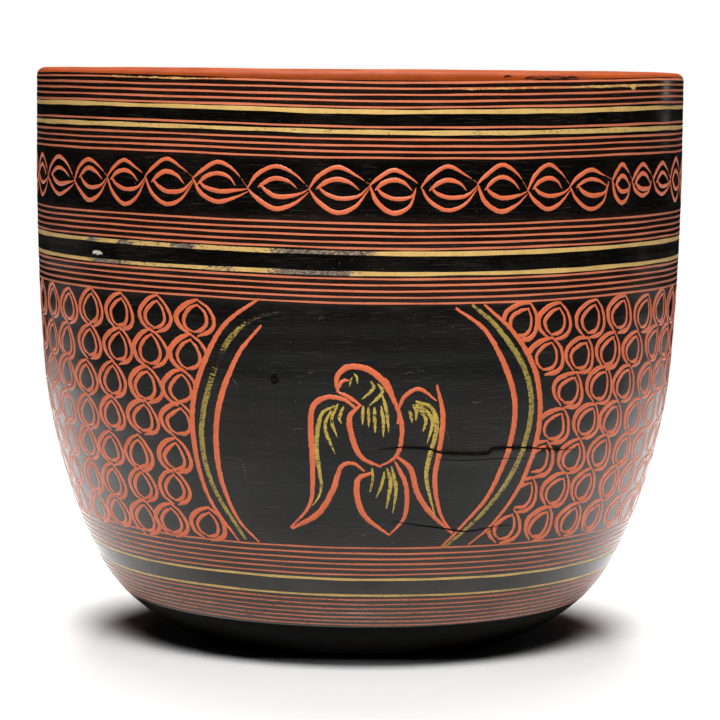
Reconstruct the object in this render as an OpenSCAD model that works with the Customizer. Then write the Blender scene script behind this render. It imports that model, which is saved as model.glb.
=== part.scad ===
// Deep round-bottomed lacquer bowl on a core of coiled split bamboo.
// The axis of the bowl is Z, the flat base lies on Z = 0 and the first bird panel faces -Y.

/* [Bowl] */
// Outside radius of the upright wall
bowl_radius = 70.1; // [68:0.1:73]
// Height from the flat base to the top of the lip
bowl_height = 123.2; // [118:0.1:130]
// Thickness of the whole wall
wall = 3.75; // [3.5:0.05:3.8]
// Radius of the lowest arc of the outside, which turns up from the base
foot_radius = 33; // [30:0.5:36]
// Radius of the middle arc of the outside
belly_radius = 122; // [116:1:128]
// Radius of the upper arc of the outside, which runs into the upright wall
flank_radius = 600; // [560:5:620]
// Slope of the outside where the lowest arc ends, in degrees
foot_end = 65; // [63:0.5:67]
// Slope of the outside where the middle arc ends, in degrees
belly_end = 86; // [85.5:0.5:87]

/* [Core] */
// Number of bamboo hoops stacked up the wall
hoop_count = 26; // [22:1:26]
// Width of the bamboo strip coiled flat in the base
coil_pitch = 5; // [4:0.1:6]
// Gap between the turns of the base coil
coil_gap = 0.15; // [0.1:0.01:0.3]
// Width of the glued scarf joint in each hoop
scarf_gap = 0.15; // [0.1:0.01:0.3]
// Angle of the scarf joint across the strip
scarf_angle = 68; // [55:1:72]

/* [Coats] */
// Thickness of each lacquer coat
lacquer = 0.5; // [0.4:0.05:0.6]
// Thickness of each putty ground
ground = 0.6; // [0.5:0.05:0.7]
// Depth of the lip band that the inner lacquer lays over the outside
lip_band = 1.92; // [1.9:0.01:1.95]

/* [Engraving] */
// Depth of the turned grooves
groove = 0.2; // [0.12:0.01:0.3]
// Width of a red turned line
red_line = 0.55; // [0.4:0.05:0.7]
// Width of a yellow turned line
yellow_line = 0.9; // [0.7:0.05:1.1]
// Distance between neighbouring red lines
line_pitch = 1.2; // [1.15:0.01:1.25]
// Number of links in the chain band
chain_links = 38; // [36:1:40]
// Number of bird panels round the bowl
panels = 3; // [3:1:3]
// Number of rows of scales between the panels
scale_rows = 7; // [6:1:7]
// Distance between neighbouring rows of scales
scale_pitch = 7.2; // [7:0.1:7.4]
// Thickness of the hand-drawn fills, which stand on the lacquer
relief = 0.1; // [0.06:0.01:0.15]

/* [Hidden] */
$fn = 96;

// Each arc of the outside: radius, and the slope at its upper end.
arcs = [[foot_radius, foot_end], [belly_radius, belly_end], [flank_radius, 90]];
function slope_before(k) = k == 0 ? 0 : arcs[k - 1][1];
function arc_width(k) = arcs[k][0] * (sin(arcs[k][1]) - sin(slope_before(k)));
function arc_length(k) = arcs[k][0] * (arcs[k][1] - slope_before(k)) * PI / 180;
function outward(slope) = [sin(slope), -cos(slope)];

base_radius = bowl_radius - arc_width(0) - arc_width(1) - arc_width(2);
foot_centre = [base_radius, foot_radius];
belly_centre = foot_centre - (belly_radius - foot_radius) * outward(foot_end);
flank_centre = belly_centre - (flank_radius - belly_radius) * outward(belly_end);
centres = [foot_centre, belly_centre, flank_centre];
upright = bowl_height - flank_centre[1];
flank_depth = upright + arc_length(2);
belly_depth = flank_depth + arc_length(1);
foot_depth = belly_depth + arc_length(0);

// A place on the wall is its depth below the lip, measured along the outside,
// and its offset, measured inwards from the outside.
function arc_at(slope) = slope <= foot_end ? 0 : slope <= belly_end ? 1 : 2;
function degrees_along(length, radius) = length / radius * 180 / PI;
function slope_at(depth) =
    depth <= upright ? 90
    : depth <= flank_depth ? 90 - degrees_along(depth - upright, flank_radius)
    : depth <= belly_depth ? belly_end - degrees_along(depth - flank_depth, belly_radius)
    : foot_end - degrees_along(depth - belly_depth, foot_radius);
function arc_point(slope, offset) =
    let (k = arc_at(slope)) centres[k] + (arcs[k][0] - offset) * outward(slope);
function wall_point(depth, offset) =
    depth < upright ? [bowl_radius - offset, bowl_height - depth]
    : arc_point(slope_at(depth), offset);

// Outlines of the coats, as points of a half section.
slopes = concat(
    [for (i = [0:12]) foot_end * i / 13],
    [for (i = [0:6]) foot_end + (belly_end - foot_end) * i / 7],
    [for (i = [0:4]) belly_end + (90 - belly_end) * i / 4]
);
lip_centre = [bowl_radius - wall / 2, bowl_height - wall / 2];
function reversed(list) = [for (i = [len(list) - 1:-1:0]) list[i]];
function side(offset, top) =
    concat([[0, offset]], [for (a = slopes) arc_point(a, offset)], [[bowl_radius - offset, top]]);
function lip(offset, from, to) =
    [for (i = [0:8]) let (a = from + (to - from) * i / 8)
        lip_centre + (wall / 2 - offset) * [cos(a), sin(a)]];

core_offset = lacquer + ground;
core_far = wall - core_offset;
hoop_height = foot_depth / hoop_count;
coil_end = 0.8 + base_radius / coil_pitch;

// Depths of the turned lines below the lip.
rim_lines = [for (i = [0:4]) 2.25 + line_pitch * i];
upper_yellow_lines = [7.8, 11.75];
neck_lines = concat([10.6], [for (i = [0:3]) 13.1 + line_pitch * i]);
shoulder_lines = [for (i = [0:4]) 29.6 + line_pitch * i];
middle_yellow_lines = [35.5, 39.4];
collar_lines = [for (i = [0:4]) 40.4 + line_pitch * i];
waist_lines = [for (i = [0:5]) 96.2 + 1.04 * line_pitch * i];
lower_yellow_lines = [103.6, 107.6];
foot_lines = [for (i = [0:6]) 108.8 + 1.04 * line_pitch * i];
red_lines = concat(rim_lines, neck_lines, shoulder_lines, collar_lines, waist_lines, foot_lines);
yellow_lines = concat(upper_yellow_lines, middle_yellow_lines, lower_yellow_lines);

hoop_names = [for (k = [1:hoop_count]) str("wall_hoop_", k < 10 ? "0" : "", k)];
ring_frame_names = [for (k = [1:panels]) str("panel_red_rings_", k)];
ring_trim_names = [for (k = [1:panels]) str("panel_yellow_rings_", k)];
bird_names = [for (k = [1:panels]) str("bird_outline_", k)];
feather_names = [for (k = [1:panels]) str("bird_feathers_", k)];
scale_names = [for (k = [1:panels]) str("scale_field_", k)];

bamboo = [0.76, 0.62, 0.38];
putty = [0.27, 0.22, 0.18];
black = [0.05, 0.05, 0.05];
orange = [0.72, 0.28, 0.07];
vermilion = [0.90, 0.43, 0.29];
yellow = [0.83, 0.66, 0.37];

// Bamboo core

// Flat coil of one bamboo strip that fills the base of the core.
module base_coil() {
    steps = 24;
    turns = [for (i = [steps:floor(steps * coil_end)]) i / steps];
    function spiral(turn, radius) = radius * [cos(360 * turn), sin(360 * turn)];
    outer_edge = [for (t = turns) spiral(t, coil_pitch * t)];
    inner_edge = [for (t = turns) spiral(t, coil_pitch * (t - 1) + coil_gap)];
    color(bamboo)
        translate([0, 0, core_offset])
            linear_extrude(core_far - core_offset)
                intersection() {
                    polygon(concat(outer_edge, reversed(inner_edge)));
                    circle(base_radius);
                }
}

// Half section of the whole bamboo wall.
module core_section() {
    polygon(concat(
        side(core_offset, lip_centre[1]), lip(core_offset, 0, 180),
        reversed(side(core_far, lip_centre[1]))
    ));
}

// One bent bamboo hoop, number k from the lip down, with its scarf joint turned
// a golden angle on from the hoop above.
module wall_hoop(k) {
    over = 1;
    top = k == 1 ? -wall : hoop_height * (k - 1);
    bottom = hoop_height * k;
    middle = hoop_height * (k - 0.5);
    joint = wall_point(middle, wall / 2);
    color(bamboo)
        difference() {
            rotate_extrude()
                intersection() {
                    core_section();
                    polygon([
                        wall_point(top, -over), wall_point(bottom, -over),
                        wall_point(bottom, wall + over), wall_point(top, wall + over)
                    ]);
                }
            rotate([0, 0, 137.5 * k])
                translate([joint[0], 0, joint[1]])
                    rotate([0, 90 - slope_at(middle), 0])
                        rotate([0, 0, scarf_angle])
                            cube([4 * wall, scarf_gap, 3 * hoop_height], center = true);
        }
}

// Coats

module outer_ground() {
    color(putty)
        rotate_extrude()
            polygon(concat(
                side(lacquer, lip_centre[1]), lip(lacquer, 0, 90),
                reversed(lip(core_offset, 0, 90)), reversed(side(core_offset, lip_centre[1]))
            ));
}

module inner_ground() {
    color(putty)
        rotate_extrude()
            polygon(concat(
                side(core_far, lip_centre[1]), reversed(lip(core_offset, 90, 180)),
                lip(lacquer, 90, 180), reversed(side(wall - lacquer, lip_centre[1]))
            ));
}

// Half section of the black coat, before any line is turned in it.
module outer_lacquer_section() {
    polygon(concat(
        side(0, bowl_height - lip_band), reversed(side(lacquer, bowl_height - lip_band))
    ));
}

// Half section of one turned line, reaching a little outside the wall.
module line_section(depth, width) {
    translate(wall_point(depth, 0))
        rotate(slope_at(depth) - 90)
            translate([-groove, -width / 2])
                square([2 * groove, width]);
}

module outer_lacquer() {
    color(black)
        rotate_extrude()
            difference() {
                outer_lacquer_section();
                for (depth = red_lines) line_section(depth, red_line);
                for (depth = yellow_lines) line_section(depth, yellow_line);
            }
}

// The red inside, which turns over the lip and ends in a band on the outside.
module inner_lacquer() {
    band_bottom = bowl_height - lip_band;
    color(orange)
        rotate_extrude()
            polygon(concat(
                [[bowl_radius, band_bottom]], lip(0, 0, 180),
                reversed(side(wall, lip_centre[1])), side(wall - lacquer, lip_centre[1]),
                reversed(lip(lacquer, 0, 180)), [[bowl_radius - lacquer, band_bottom]]
            ));
}

// Pigment pressed into a group of turned lines.
module line_fill(depths, width, pigment) {
    color(pigment)
        rotate_extrude()
            for (depth = depths)
                intersection() {
                    outer_lacquer_section();
                    line_section(depth, width);
                }
}

// Hand-drawn figures

// Thin skin on the outside, between two heights, that the figures are cut from.
module relief_skin(low, high) {
    rotate_extrude()
        intersection() {
            polygon(concat(side(-relief, bowl_height), reversed(side(0, bowl_height))));
            translate([0, low]) square([2 * bowl_radius, high - low]);
        }
}

// Eye shape between two arcs that meet at its left and right tips.
module eye(half_width, half_height) {
    arc_radius = (half_width ^ 2 + half_height ^ 2) / (2 * half_height);
    intersection() {
        translate([0, half_height - arc_radius]) circle(arc_radius);
        translate([0, arc_radius - half_height]) circle(arc_radius);
    }
}

// One link of the chain: a large eye round a small one, both as outlines.
module chain_link(half_width, half_height, stroke) {
    difference() {
        eye(half_width, half_height);
        eye(half_width - 1.6 * stroke, half_height - stroke);
    }
    difference() {
        eye(0.62 * half_width, 0.46 * half_height);
        eye(0.62 * half_width - 1.6 * stroke, 0.46 * half_height - stroke);
    }
}

module chain_band() {
    height = bowl_height - 22.7;
    half_height = 4.7;
    half_width = 0.96 * PI * bowl_radius / chain_links;
    color(vermilion)
        intersection() {
            relief_skin(height - 6, height + 6);
            for (k = [0:chain_links - 1])
                rotate([0, 0, 360 * k / chain_links])
                    translate([0, -bowl_radius / 2, height])
                        rotate([90, 0, 0])
                            linear_extrude(bowl_radius)
                                chain_link(half_width, half_height, 0.85);
        }
}

// Smooth curve through a stroke's points, with four steps between neighbours.
function curve_point(p, i, t) =
    let (a = p[max(i - 1, 0)], b = p[i], c = p[i + 1], d = p[min(i + 2, len(p) - 1)])
    b + 0.5 * t * (c - a + t * (2 * a - 5 * b + 4 * c - d + t * (3 * (b - c) + d - a)));
function curve(p) =
    concat([for (i = [0:len(p) - 2], t = [0:3]) curve_point(p, i, t / 4)], [p[len(p) - 1]]);

// Brush stroke along a curve, widest in the middle and pointed at both ends.
module stroke(points, width) {
    line = curve(points);
    last = len(line) - 1;
    function heading(i) =
        let (v = line[min(i + 1, last)] - line[max(i - 1, 0)]) v / norm(v);
    function half(i) = width / 2 * (0.25 + 0.75 * sin(180 * i / last));
    left = [for (i = [0:last]) line[i] + half(i) * [-heading(i)[1], heading(i)[0]]];
    right = [for (i = [0:last]) line[i] - half(i) * [-heading(i)[1], heading(i)[0]]];
    polygon(concat(left, reversed(right)));
}

// Figure number k, drawn in a plane in front of the bowl and laid on its side.
module laid_figure(k) {
    intersection() {
        relief_skin(20, 82);
        rotate([0, 0, 360 * (k - 1) / panels])
            rotate([90, 0, 0])
                translate([0, 0, bowl_radius / 2])
                    linear_extrude(bowl_radius)
                        children();
    }
}

// Panel outlines, as three nested arcs at each side: red, yellow, red.
red_ring_strokes = [
    [[-20, 78], [-29, 66], [-32.5, 52], [-29, 38], [-23, 28.5]],
    [[-19, 73], [-26, 62], [-28, 50], [-26, 39], [-19.5, 28.5]],
    [[19.5, 77], [28, 67], [31.5, 54], [28, 41], [17, 28.5]],
    [[25, 77.5], [34, 65], [37, 52], [33, 39], [23, 28.5]]
];
yellow_ring_strokes = [
    [[-14, 76], [-25, 67], [-31, 50], [-28, 37], [-22, 28.8]],
    [[22.5, 77.5], [31, 67], [35, 56], [31, 42], [18, 28.2]]
];

module panel_red_rings(k) {
    color(vermilion) laid_figure(k)
        for (points = red_ring_strokes) stroke(points, 1.1);
}

module panel_yellow_rings(k) {
    color(yellow) laid_figure(k)
        for (points = yellow_ring_strokes) stroke(points, 0.9);
}

// Bird with folded wings, drawn in simple strokes.
bird_strokes = [
    [[-4, 61], [-3.5, 64.5], [0, 65.5], [5, 63], [9, 56]],
    [[-4, 61], [-1, 59.5], [1, 58]],
    [[1, 58], [-1.5, 54], [0.5, 48], [5, 45.3]],
    [[9, 57], [9.3, 52], [8, 48], [5.4, 45.6]],
    [[-2, 58.5], [-6.5, 59], [-9, 55], [-8.5, 44], [-9, 38], [-12, 33]],
    [[-12.5, 32.5], [-7, 36.5], [-4, 43], [-1.5, 45.8], [1, 44.5]],
    [[9.3, 57.5], [11.5, 60.5], [14, 60], [15.8, 57.8]],
    [[16, 62], [17, 55], [15.8, 45], [16.5, 37], [19.5, 31.2]],
    [[8.5, 47], [11.5, 44.5], [13, 39], [18.8, 31]],
    [[2.5, 44], [-0.2, 41], [1.5, 35], [6.5, 31.2]],
    [[7.7, 46.5], [9.8, 41], [10, 35.5], [7.2, 31.5]]
];

// Feathers: down the breast, across each wing and down the tail.
feather_strokes = concat(
    [for (i = [0:4]) [[2 + 1.2 * i, 57.5 + 0.2 * i], [2 + 1.3 * i, 53.7 - 0.4 * i]]],
    [for (i = [0:3]) [[-6.4 + 1.3 * i, 57], [-8 + 1.7 * i, 53], [-7 + 1.7 * i, 46 + 2 * i]]],
    [for (i = [0:3]) [[12 + 0.8 * i, 58.4], [13 + 0.8 * i, 56], [13 + 0.9 * i, 54 - 2.6 * i]]],
    [for (i = [0:3]) [[3.5 + 1.1 * i, 43.5], [3.4 + 1.4 * i, 39.5 - 0.6 * i]]],
    [[[4, 62], [4.4, 60.5], [2.8, 59]], [[6, 61], [6.3, 59], [5, 57.5]]]
);

module bird_outline(k) {
    color(vermilion) laid_figure(k)
        for (points = bird_strokes) stroke(points, 1.1);
}

module bird_feathers(k) {
    color(yellow) laid_figure(k)
        for (points = feather_strokes) stroke(points, 0.6);
}

// Scales

first_scale_row = 49.3;
scale_half_height = 3.55;
scale_half_width = 3.4;

// Angle from the middle of a panel to its outer ring, at a depth down the wall.
function panel_half_angle(depth) =
    let (place = wall_point(depth, 0))
    asin(37 * sqrt(1 - ((place[1] - 53) / 31) ^ 2) / place[0]);

// One scale: a pointed ring round a smaller one, both standing on their tips.
module double_scale(stroke) {
    rotate(90)
        for (share = [1, 0.64])
            difference() {
                eye(share * scale_half_height, share * scale_half_width);
                eye(share * scale_half_height - 1.2 * stroke, share * scale_half_width - stroke);
            }
}

// Rows of scales from panel number k to the next, each row a third of a scale behind
// the row above.
module scale_field(k) {
    color(vermilion)
        for (row = [0:scale_rows - 1])
            let (
                depth = first_scale_row + scale_pitch * row,
                place = wall_point(depth, 0),
                pitch = asin((2 * scale_half_width + 1) / place[0]),
                edge = panel_half_angle(depth) + pitch / 2,
                count = floor((360 / panels - 2 * edge) / pitch),
                start = 180 / panels - pitch * count / 2 + pitch * (row % 3 - 1) / 3
            )
                for (column = [0:count])
                    rotate([0, 0, 360 * (k - 1) / panels + start + pitch * column])
                        translate([0, -place[0], place[1]])
                            rotate([180 - slope_at(depth), 0, 0])
                                linear_extrude(relief)
                                    double_scale(0.8);
}

base_coil();
for (k = [1:hoop_count]) wall_hoop(k);
outer_ground();
inner_ground();
outer_lacquer();
inner_lacquer();
line_fill(rim_lines, red_line, vermilion);  // rim_red_lines
line_fill(upper_yellow_lines, yellow_line, yellow);
line_fill(neck_lines, red_line, vermilion);  // neck_red_lines
line_fill(shoulder_lines, red_line, vermilion);  // shoulder_red_lines
line_fill(middle_yellow_lines, yellow_line, yellow);
line_fill(collar_lines, red_line, vermilion);  // collar_red_lines
line_fill(waist_lines, red_line, vermilion);  // waist_red_lines
line_fill(lower_yellow_lines, yellow_line, yellow);
line_fill(foot_lines, red_line, vermilion);  // foot_red_lines
chain_band();
for (k = [1:panels]) panel_red_rings(k);
for (k = [1:panels]) panel_yellow_rings(k);
for (k = [1:panels]) bird_outline(k);
for (k = [1:panels]) bird_feathers(k);
for (k = [1:panels]) scale_field(k);
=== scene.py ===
"""Looks of the incised lacquer bowl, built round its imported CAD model.

Sizes are in millimetres. A place on the bowl's wall is an angle round the axis, from the front and
towards +X, a depth below the lip along the outside, and a lift off the outside. Meshes are made in metres.
"""
import math
import random

import bpy
import numpy as np
from mathutils import Matrix, Vector

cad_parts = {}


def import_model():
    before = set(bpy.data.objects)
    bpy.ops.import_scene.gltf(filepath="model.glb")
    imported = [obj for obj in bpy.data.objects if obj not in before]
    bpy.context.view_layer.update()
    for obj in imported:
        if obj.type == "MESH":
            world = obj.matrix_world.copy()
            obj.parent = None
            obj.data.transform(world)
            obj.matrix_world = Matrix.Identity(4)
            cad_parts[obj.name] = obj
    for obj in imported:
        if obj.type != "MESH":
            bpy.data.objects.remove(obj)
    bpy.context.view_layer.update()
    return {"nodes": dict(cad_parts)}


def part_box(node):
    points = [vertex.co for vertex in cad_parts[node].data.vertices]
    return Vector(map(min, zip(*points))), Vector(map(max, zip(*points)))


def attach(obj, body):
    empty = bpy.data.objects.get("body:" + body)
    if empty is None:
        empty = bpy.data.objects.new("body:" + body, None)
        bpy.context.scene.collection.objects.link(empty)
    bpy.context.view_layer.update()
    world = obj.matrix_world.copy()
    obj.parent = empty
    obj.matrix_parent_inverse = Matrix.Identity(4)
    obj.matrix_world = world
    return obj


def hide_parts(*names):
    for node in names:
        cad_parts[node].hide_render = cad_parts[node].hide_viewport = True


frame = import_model()

MM = 0.001

# --- The wall ---

BOWL_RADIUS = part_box("inner_lacquer")[1].x / MM
BOWL_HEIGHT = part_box("inner_lacquer")[1].z / MM
# Thickness of the wall and of its outer coat, how far the orange of the lip comes down the outside,
# and the height of one bamboo hoop.
WALL = 3.75
LACQUER = 0.5
LIP_BAND = 1.92
HOOP_HEIGHT = 5.54
# Arcs of the outside from the upright part down: radius, and the slope at its top and at its foot.
ARCS = ((600, 90, 86), (122, 86, 65), (33, 65, 0))


def wall_tables():
    """Depth, radius, height and slope of the outside, at close steps from the lip to the axis."""
    sines = [(r, math.sin(math.radians(a)) - math.sin(math.radians(b))) for r, a, b in ARCS]
    cosines = [(r, math.cos(math.radians(b)) - math.cos(math.radians(a))) for r, a, b in ARCS]
    base_radius = BOWL_RADIUS - sum(r * s for r, s in sines)
    marks = [0, BOWL_HEIGHT - sum(r * c for r, c in cosines)]
    slopes = [90, 90]
    for radius, top, foot in ARCS:
        marks.append(marks[-1] + radius * math.radians(top - foot))
        slopes.append(foot)
    marks.append(marks[-1] + base_radius)
    slopes.append(0)
    depth = np.linspace(0, marks[-1], 6001)
    slope = np.radians(np.interp(depth, marks, slopes))
    step = depth[1]
    inward = np.concatenate([[0], np.cumsum(np.cos((slope[1:] + slope[:-1]) / 2) * step)])
    downward = np.concatenate([[0], np.cumsum(np.sin((slope[1:] + slope[:-1]) / 2) * step)])
    return depth, BOWL_RADIUS - inward, BOWL_HEIGHT - downward, slope, marks


DEPTHS, RADII, HEIGHTS, SLOPES, MARKS = wall_tables()
UPRIGHT_DEPTH, FOOT_DEPTH, AXIS_DEPTH = MARKS[1], MARKS[-2], MARKS[-1]
# The two level cracks of the front panel, as X and height in the plane of its front.
CRACKS = (
    ((4.4, 48.6), (8.9, 49.2), (13.9, 48.9), (17.5, 47.9), (25.6, 47.4), (27.6, 48.5), (34.2, 48.2),
     (41.4, 47.2), (44.5, 46.9)),
    ((7.4, 33.8), (12.3, 32.9), (17.3, 32.1), (22.4, 31.2), (27.5, 31.8), (31.5, 31.9)),
)
# How far the lower lip of each crack stands out.
CRACK_LIPS = (0.2, 0.09)


def radius_at(depth):
    return np.interp(depth, DEPTHS, RADII)


def depth_at(height):
    return np.interp(height, HEIGHTS[::-1], DEPTHS[::-1])


def half_turn(theta):
    """The same angle, between half a turn back and half a turn on."""
    return (theta + math.pi) % (2 * math.pi) - math.pi


def on_wall(points):
    """Angle and depth of points drawn in the plane of the front, as X and height."""
    x, z = np.asarray(points, float).T
    depth = depth_at(z)
    return np.stack([np.arcsin(x / radius_at(depth)), depth], -1)


CRACK_LINES = [on_wall(crack) for crack in CRACKS]


def relief(theta, depth):
    """How far the real outside stands off the true one: sway, hoops and the lips of the cracks."""
    theta = half_turn(theta)
    fade = np.clip((FOOT_DEPTH - depth) / 20, 0, 1)
    sway = 0.09 * np.sin(2 * theta + 0.4) + 0.05 * np.sin(3 * theta + 2)
    hoops = 0.022 * np.cos(2 * np.pi * depth / HOOP_HEIGHT + 0.9 * np.sin(2 * theta + 1))
    lift = (sway + hoops) * fade
    for line, height in zip(CRACK_LINES, CRACK_LIPS):
        edge = np.interp(theta, line[:, 0], line[:, 1])
        inside = np.clip((theta - line[0, 0]) / 0.07, 0, 1) * np.clip((line[-1, 0] - theta) / 0.07, 0, 1)
        below = depth - edge
        lower = 0.5 + 0.5 * np.tanh(below / 0.4)
        lip = lower * np.exp(-((below / 1.8) ** 2)) - 0.3 * (1 - lower) * np.exp(-((below / 0.9) ** 2))
        lift = lift + height * inside * lip
    return lift


def lip_rise(theta):
    """How far the hand-finished top of the lip stands above its true height. It stays well within the
    lacquer, so that the putty below it never shows."""
    waves = 0.07 * np.sin(3 * theta + 1) + 0.04 * np.sin(7 * theta) + 0.02 * np.sin(17 * theta + 2)
    return waves - 0.12 * (1 - np.cos(theta)) + 0.1 * np.sin(theta)


def wall_rz(theta, depth, lift):
    """Radius and height of a place on the wall, round the outside of the lip too."""
    slope = np.interp(depth, DEPTHS, SLOPES)
    over = np.clip(1 - depth / (WALL / 2), 0, 1)
    bend = np.arcsin(over)
    out = relief(theta, depth)
    radius = radius_at(depth) + out * np.sin(slope) - WALL / 2 * (1 - np.cos(bend))
    height = np.interp(depth, DEPTHS, HEIGHTS) - out * np.cos(slope) + lip_rise(theta) * over
    return radius + lift * np.sin(slope + bend), height - lift * np.cos(slope + bend)


def wall_xyz(theta, depth, lift):
    radius, height = wall_rz(theta, depth, lift)
    return np.stack([radius * np.sin(theta), -radius * np.cos(theta), height], -1)


def line_sway(theta, depth):
    """How far up the turned lines drift from their true circles, in millimetres along the wall."""
    upper = 0.24 + 0.07 * np.sin(theta + 2.79) + 0.11 * np.sin(2 * theta - 2.21)
    upper = upper + 0.13 * np.sin(3 * theta - 2.03) + 0.12 * np.sin(4 * theta - 2.23)
    rim = 0.32 + 0.18 * np.sin(theta + 0.37) + 0.19 * np.sin(2 * theta - 0.83)
    lower = -0.5 * np.sin(theta)
    sway = upper * np.interp(depth, (60, 90), (1, 0)) + lower * np.interp(depth, (85, 96), (0, 1))
    return sway + rim * np.interp(depth, (7.2, 7.8, 10), (1, 0.4, 0))


# --- Mesh helpers ---

SEGMENTS = 360
THETA = 2 * np.pi * np.arange(SEGMENTS) / SEGMENTS


def make_piece(name, verts, faces, material, nodes=(), sharp=40, wear=None):
    """A mesh piece of the bowl, from points in millimetres, with its finish and the nodes it replaces."""
    mesh = bpy.data.meshes.new(name)
    mesh.from_pydata((np.asarray(verts) * MM).tolist(), [], faces)
    if wear is not None:
        worn = mesh.attributes.new("wear", "FLOAT", "POINT")
        worn.data.foreach_set("value", np.asarray(wear, np.float32))
    mesh.materials.append(material)
    mesh.shade_smooth()
    mesh.set_sharp_from_angle(angle=math.radians(sharp))
    piece = bpy.data.objects.new(name, mesh)
    bpy.context.scene.collection.objects.link(piece)
    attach(piece, "root")
    if nodes:
        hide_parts(*nodes)
    return piece


def revolve(rows):
    """Closed solid of revolution from a loop of rows. A row is a radius and a height, as numbers at
    the axis or as one value for each of THETA."""
    verts, starts = [], []
    for radius, height in rows:
        starts.append(len(verts))
        if np.isscalar(radius):
            verts.append((0, 0, height))
        else:
            ring = np.stack([radius * np.sin(THETA), -radius * np.cos(THETA), height + 0 * THETA], -1)
            verts.extend(ring.tolist())
    faces = []
    around = [(j, (j + 1) % SEGMENTS) for j in range(SEGMENTS)]
    for k, start in enumerate(starts):
        after = starts[(k + 1) % len(starts)]
        pole, next_pole = np.isscalar(rows[k][0]), np.isscalar(rows[(k + 1) % len(rows)][0])
        if pole and next_pole:
            continue
        if pole:
            faces += [(start, after + b, after + a) for a, b in around]
        elif next_pole:
            faces += [(start + a, start + b, after) for a, b in around]
        else:
            faces += [(start + a, start + b, after + b, after + a) for a, b in around]
    return verts, [face[::-1] for face in faces]


def wall_row(depth, lift):
    """A row of revolve() on the wall, or a point on the axis at the end of the base."""
    if np.isscalar(depth) and depth >= AXIS_DEPTH:
        return 0.0, -float(lift)
    return wall_rz(THETA, depth + 0 * THETA, lift)


def smooth_path(points, step=0.35):
    """Points at even steps along a smooth curve through a stroke's own points."""
    p = np.asarray(points, float)
    p = np.vstack([2 * p[0] - p[1], p, 2 * p[-1] - p[-2]])
    t = np.linspace(0, 1, 13)[:-1, None]
    spans = []
    for a, b, c, d in zip(p, p[1:], p[2:], p[3:]):
        spans.append(b + 0.5 * t * (c - a + t * (2 * a - 5 * b + 4 * c - d + t * (3 * (b - c) + d - a))))
    line = np.vstack(spans + [p[-2:-1]])
    along = np.concatenate([[0], np.cumsum(np.linalg.norm(np.diff(line, axis=0), axis=1))])
    count = max(4, int(along[-1] / step) + 1)
    even = np.linspace(0, along[-1], count)
    return np.stack([np.interp(even, along, line[:, k]) for k in (0, 1)], -1)


def pressure(count, head, tail, rise, fall):
    """Share of a stroke's full width along it: from the head, up to full, and down to the tail."""
    t = np.linspace(0, 1, count)
    up = head + (1 - head) * np.clip(t / rise, 0, 1) ** 0.7
    down = tail + (1 - tail) * np.clip((1 - t) / fall, 0, 1) ** 0.8
    return np.minimum(up, down)


class Strokes:
    """Hand-cut strokes that lie on the wall, gathered into one mesh."""

    def __init__(self, seed, ridge=0.03, rough=0.045):
        self.random = random.Random(seed)
        self.ridge = ridge
        self.rough = rough
        self.verts, self.faces, self.wear = [], [], []

    def add(self, places, width, head=0.25, tail=0.15, rise=0.22, fall=0.4, wear=0.0, keep=None):
        """A stroke through places on the wall, each an angle and a depth. The wear is one number or
        one for each place. keep(theta, depth) says which of its places stay."""
        theta, depth = places[:, 0], places[:, 1]
        half = width / 2 * pressure(len(theta), head, tail, rise, fall)
        if keep is not None:
            run = longest_run(keep(theta, depth))
            if run is None:
                return
            theta, depth, half = theta[run], depth[run], half[run]
        count = len(theta)
        if count < 4:
            return
        radius = radius_at(depth)
        along_u, along_v = np.gradient(theta) * radius, -np.gradient(depth)
        length = np.hypot(along_u, along_v) + 1e-9
        side_u, side_v = -along_v / length, along_u / length
        corners = []
        for side in (1, -1):
            jitter = np.array([self.random.uniform(-1, 1) for _ in range(count)])
            reach = np.maximum(half + self.rough * jitter * np.minimum(1, 3 * half), 0.03) * side
            for share, lift in ((1.0, -0.06), (0.82, self.ridge)):
                corners.append(wall_xyz(
                    theta + share * reach * side_u / radius, depth - share * reach * side_v, lift))
        left_low, left_top, right_low, right_top = corners
        rings = np.stack([left_low, left_top, right_top, right_low], 1)
        start = len(self.verts)
        self.verts.extend(rings.reshape(-1, 3).tolist())
        for i in range(count - 1):
            a, b = start + 4 * i, start + 4 * i + 4
            for k in range(4):
                self.faces.append((a + k, a + (k + 1) % 4, b + (k + 1) % 4, b + k))
        self.faces.append((start + 3, start + 2, start + 1, start))
        end = start + 4 * (count - 1)
        self.faces.append((end, end + 1, end + 2, end + 3))
        self.wear.extend(np.repeat(wear + 0 * theta, 4).tolist())

    def dashes(self, places, width):
        """The skips of a brush that lifts off: short dashes along the last of a stroke."""
        if len(places) < 4:
            return
        fine = np.linspace(0, len(places) - 1, 6 * len(places))
        path = np.stack([np.interp(fine, range(len(places)), places[:, k]) for k in (0, 1)], -1)
        for start in range(4, len(path) - 6, 9):
            self.add(path[start:start + 5], width * self.random.uniform(0.7, 1.2), head=0.5, tail=0.5)

    def piece(self, name, material, slot, nodes=()):
        faces = [face[::-1] for face in self.faces]
        return make_piece(name, self.verts, faces, material, nodes, sharp=60, wear=self.wear)


def longest_run(inside):
    """Slice of the longest unbroken run of true values, or None."""
    best, start = None, None
    for i, good in enumerate(list(inside) + [False]):
        if good and start is None:
            start = i
        elif not good and start is not None:
            if best is None or i - start > best.stop - best.start:
                best = slice(start, i)
            start = None
    return best


# --- Materials ---


RANGE_SOCKETS = ("From Min", "From Max", "To Min", "To Max")


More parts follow.
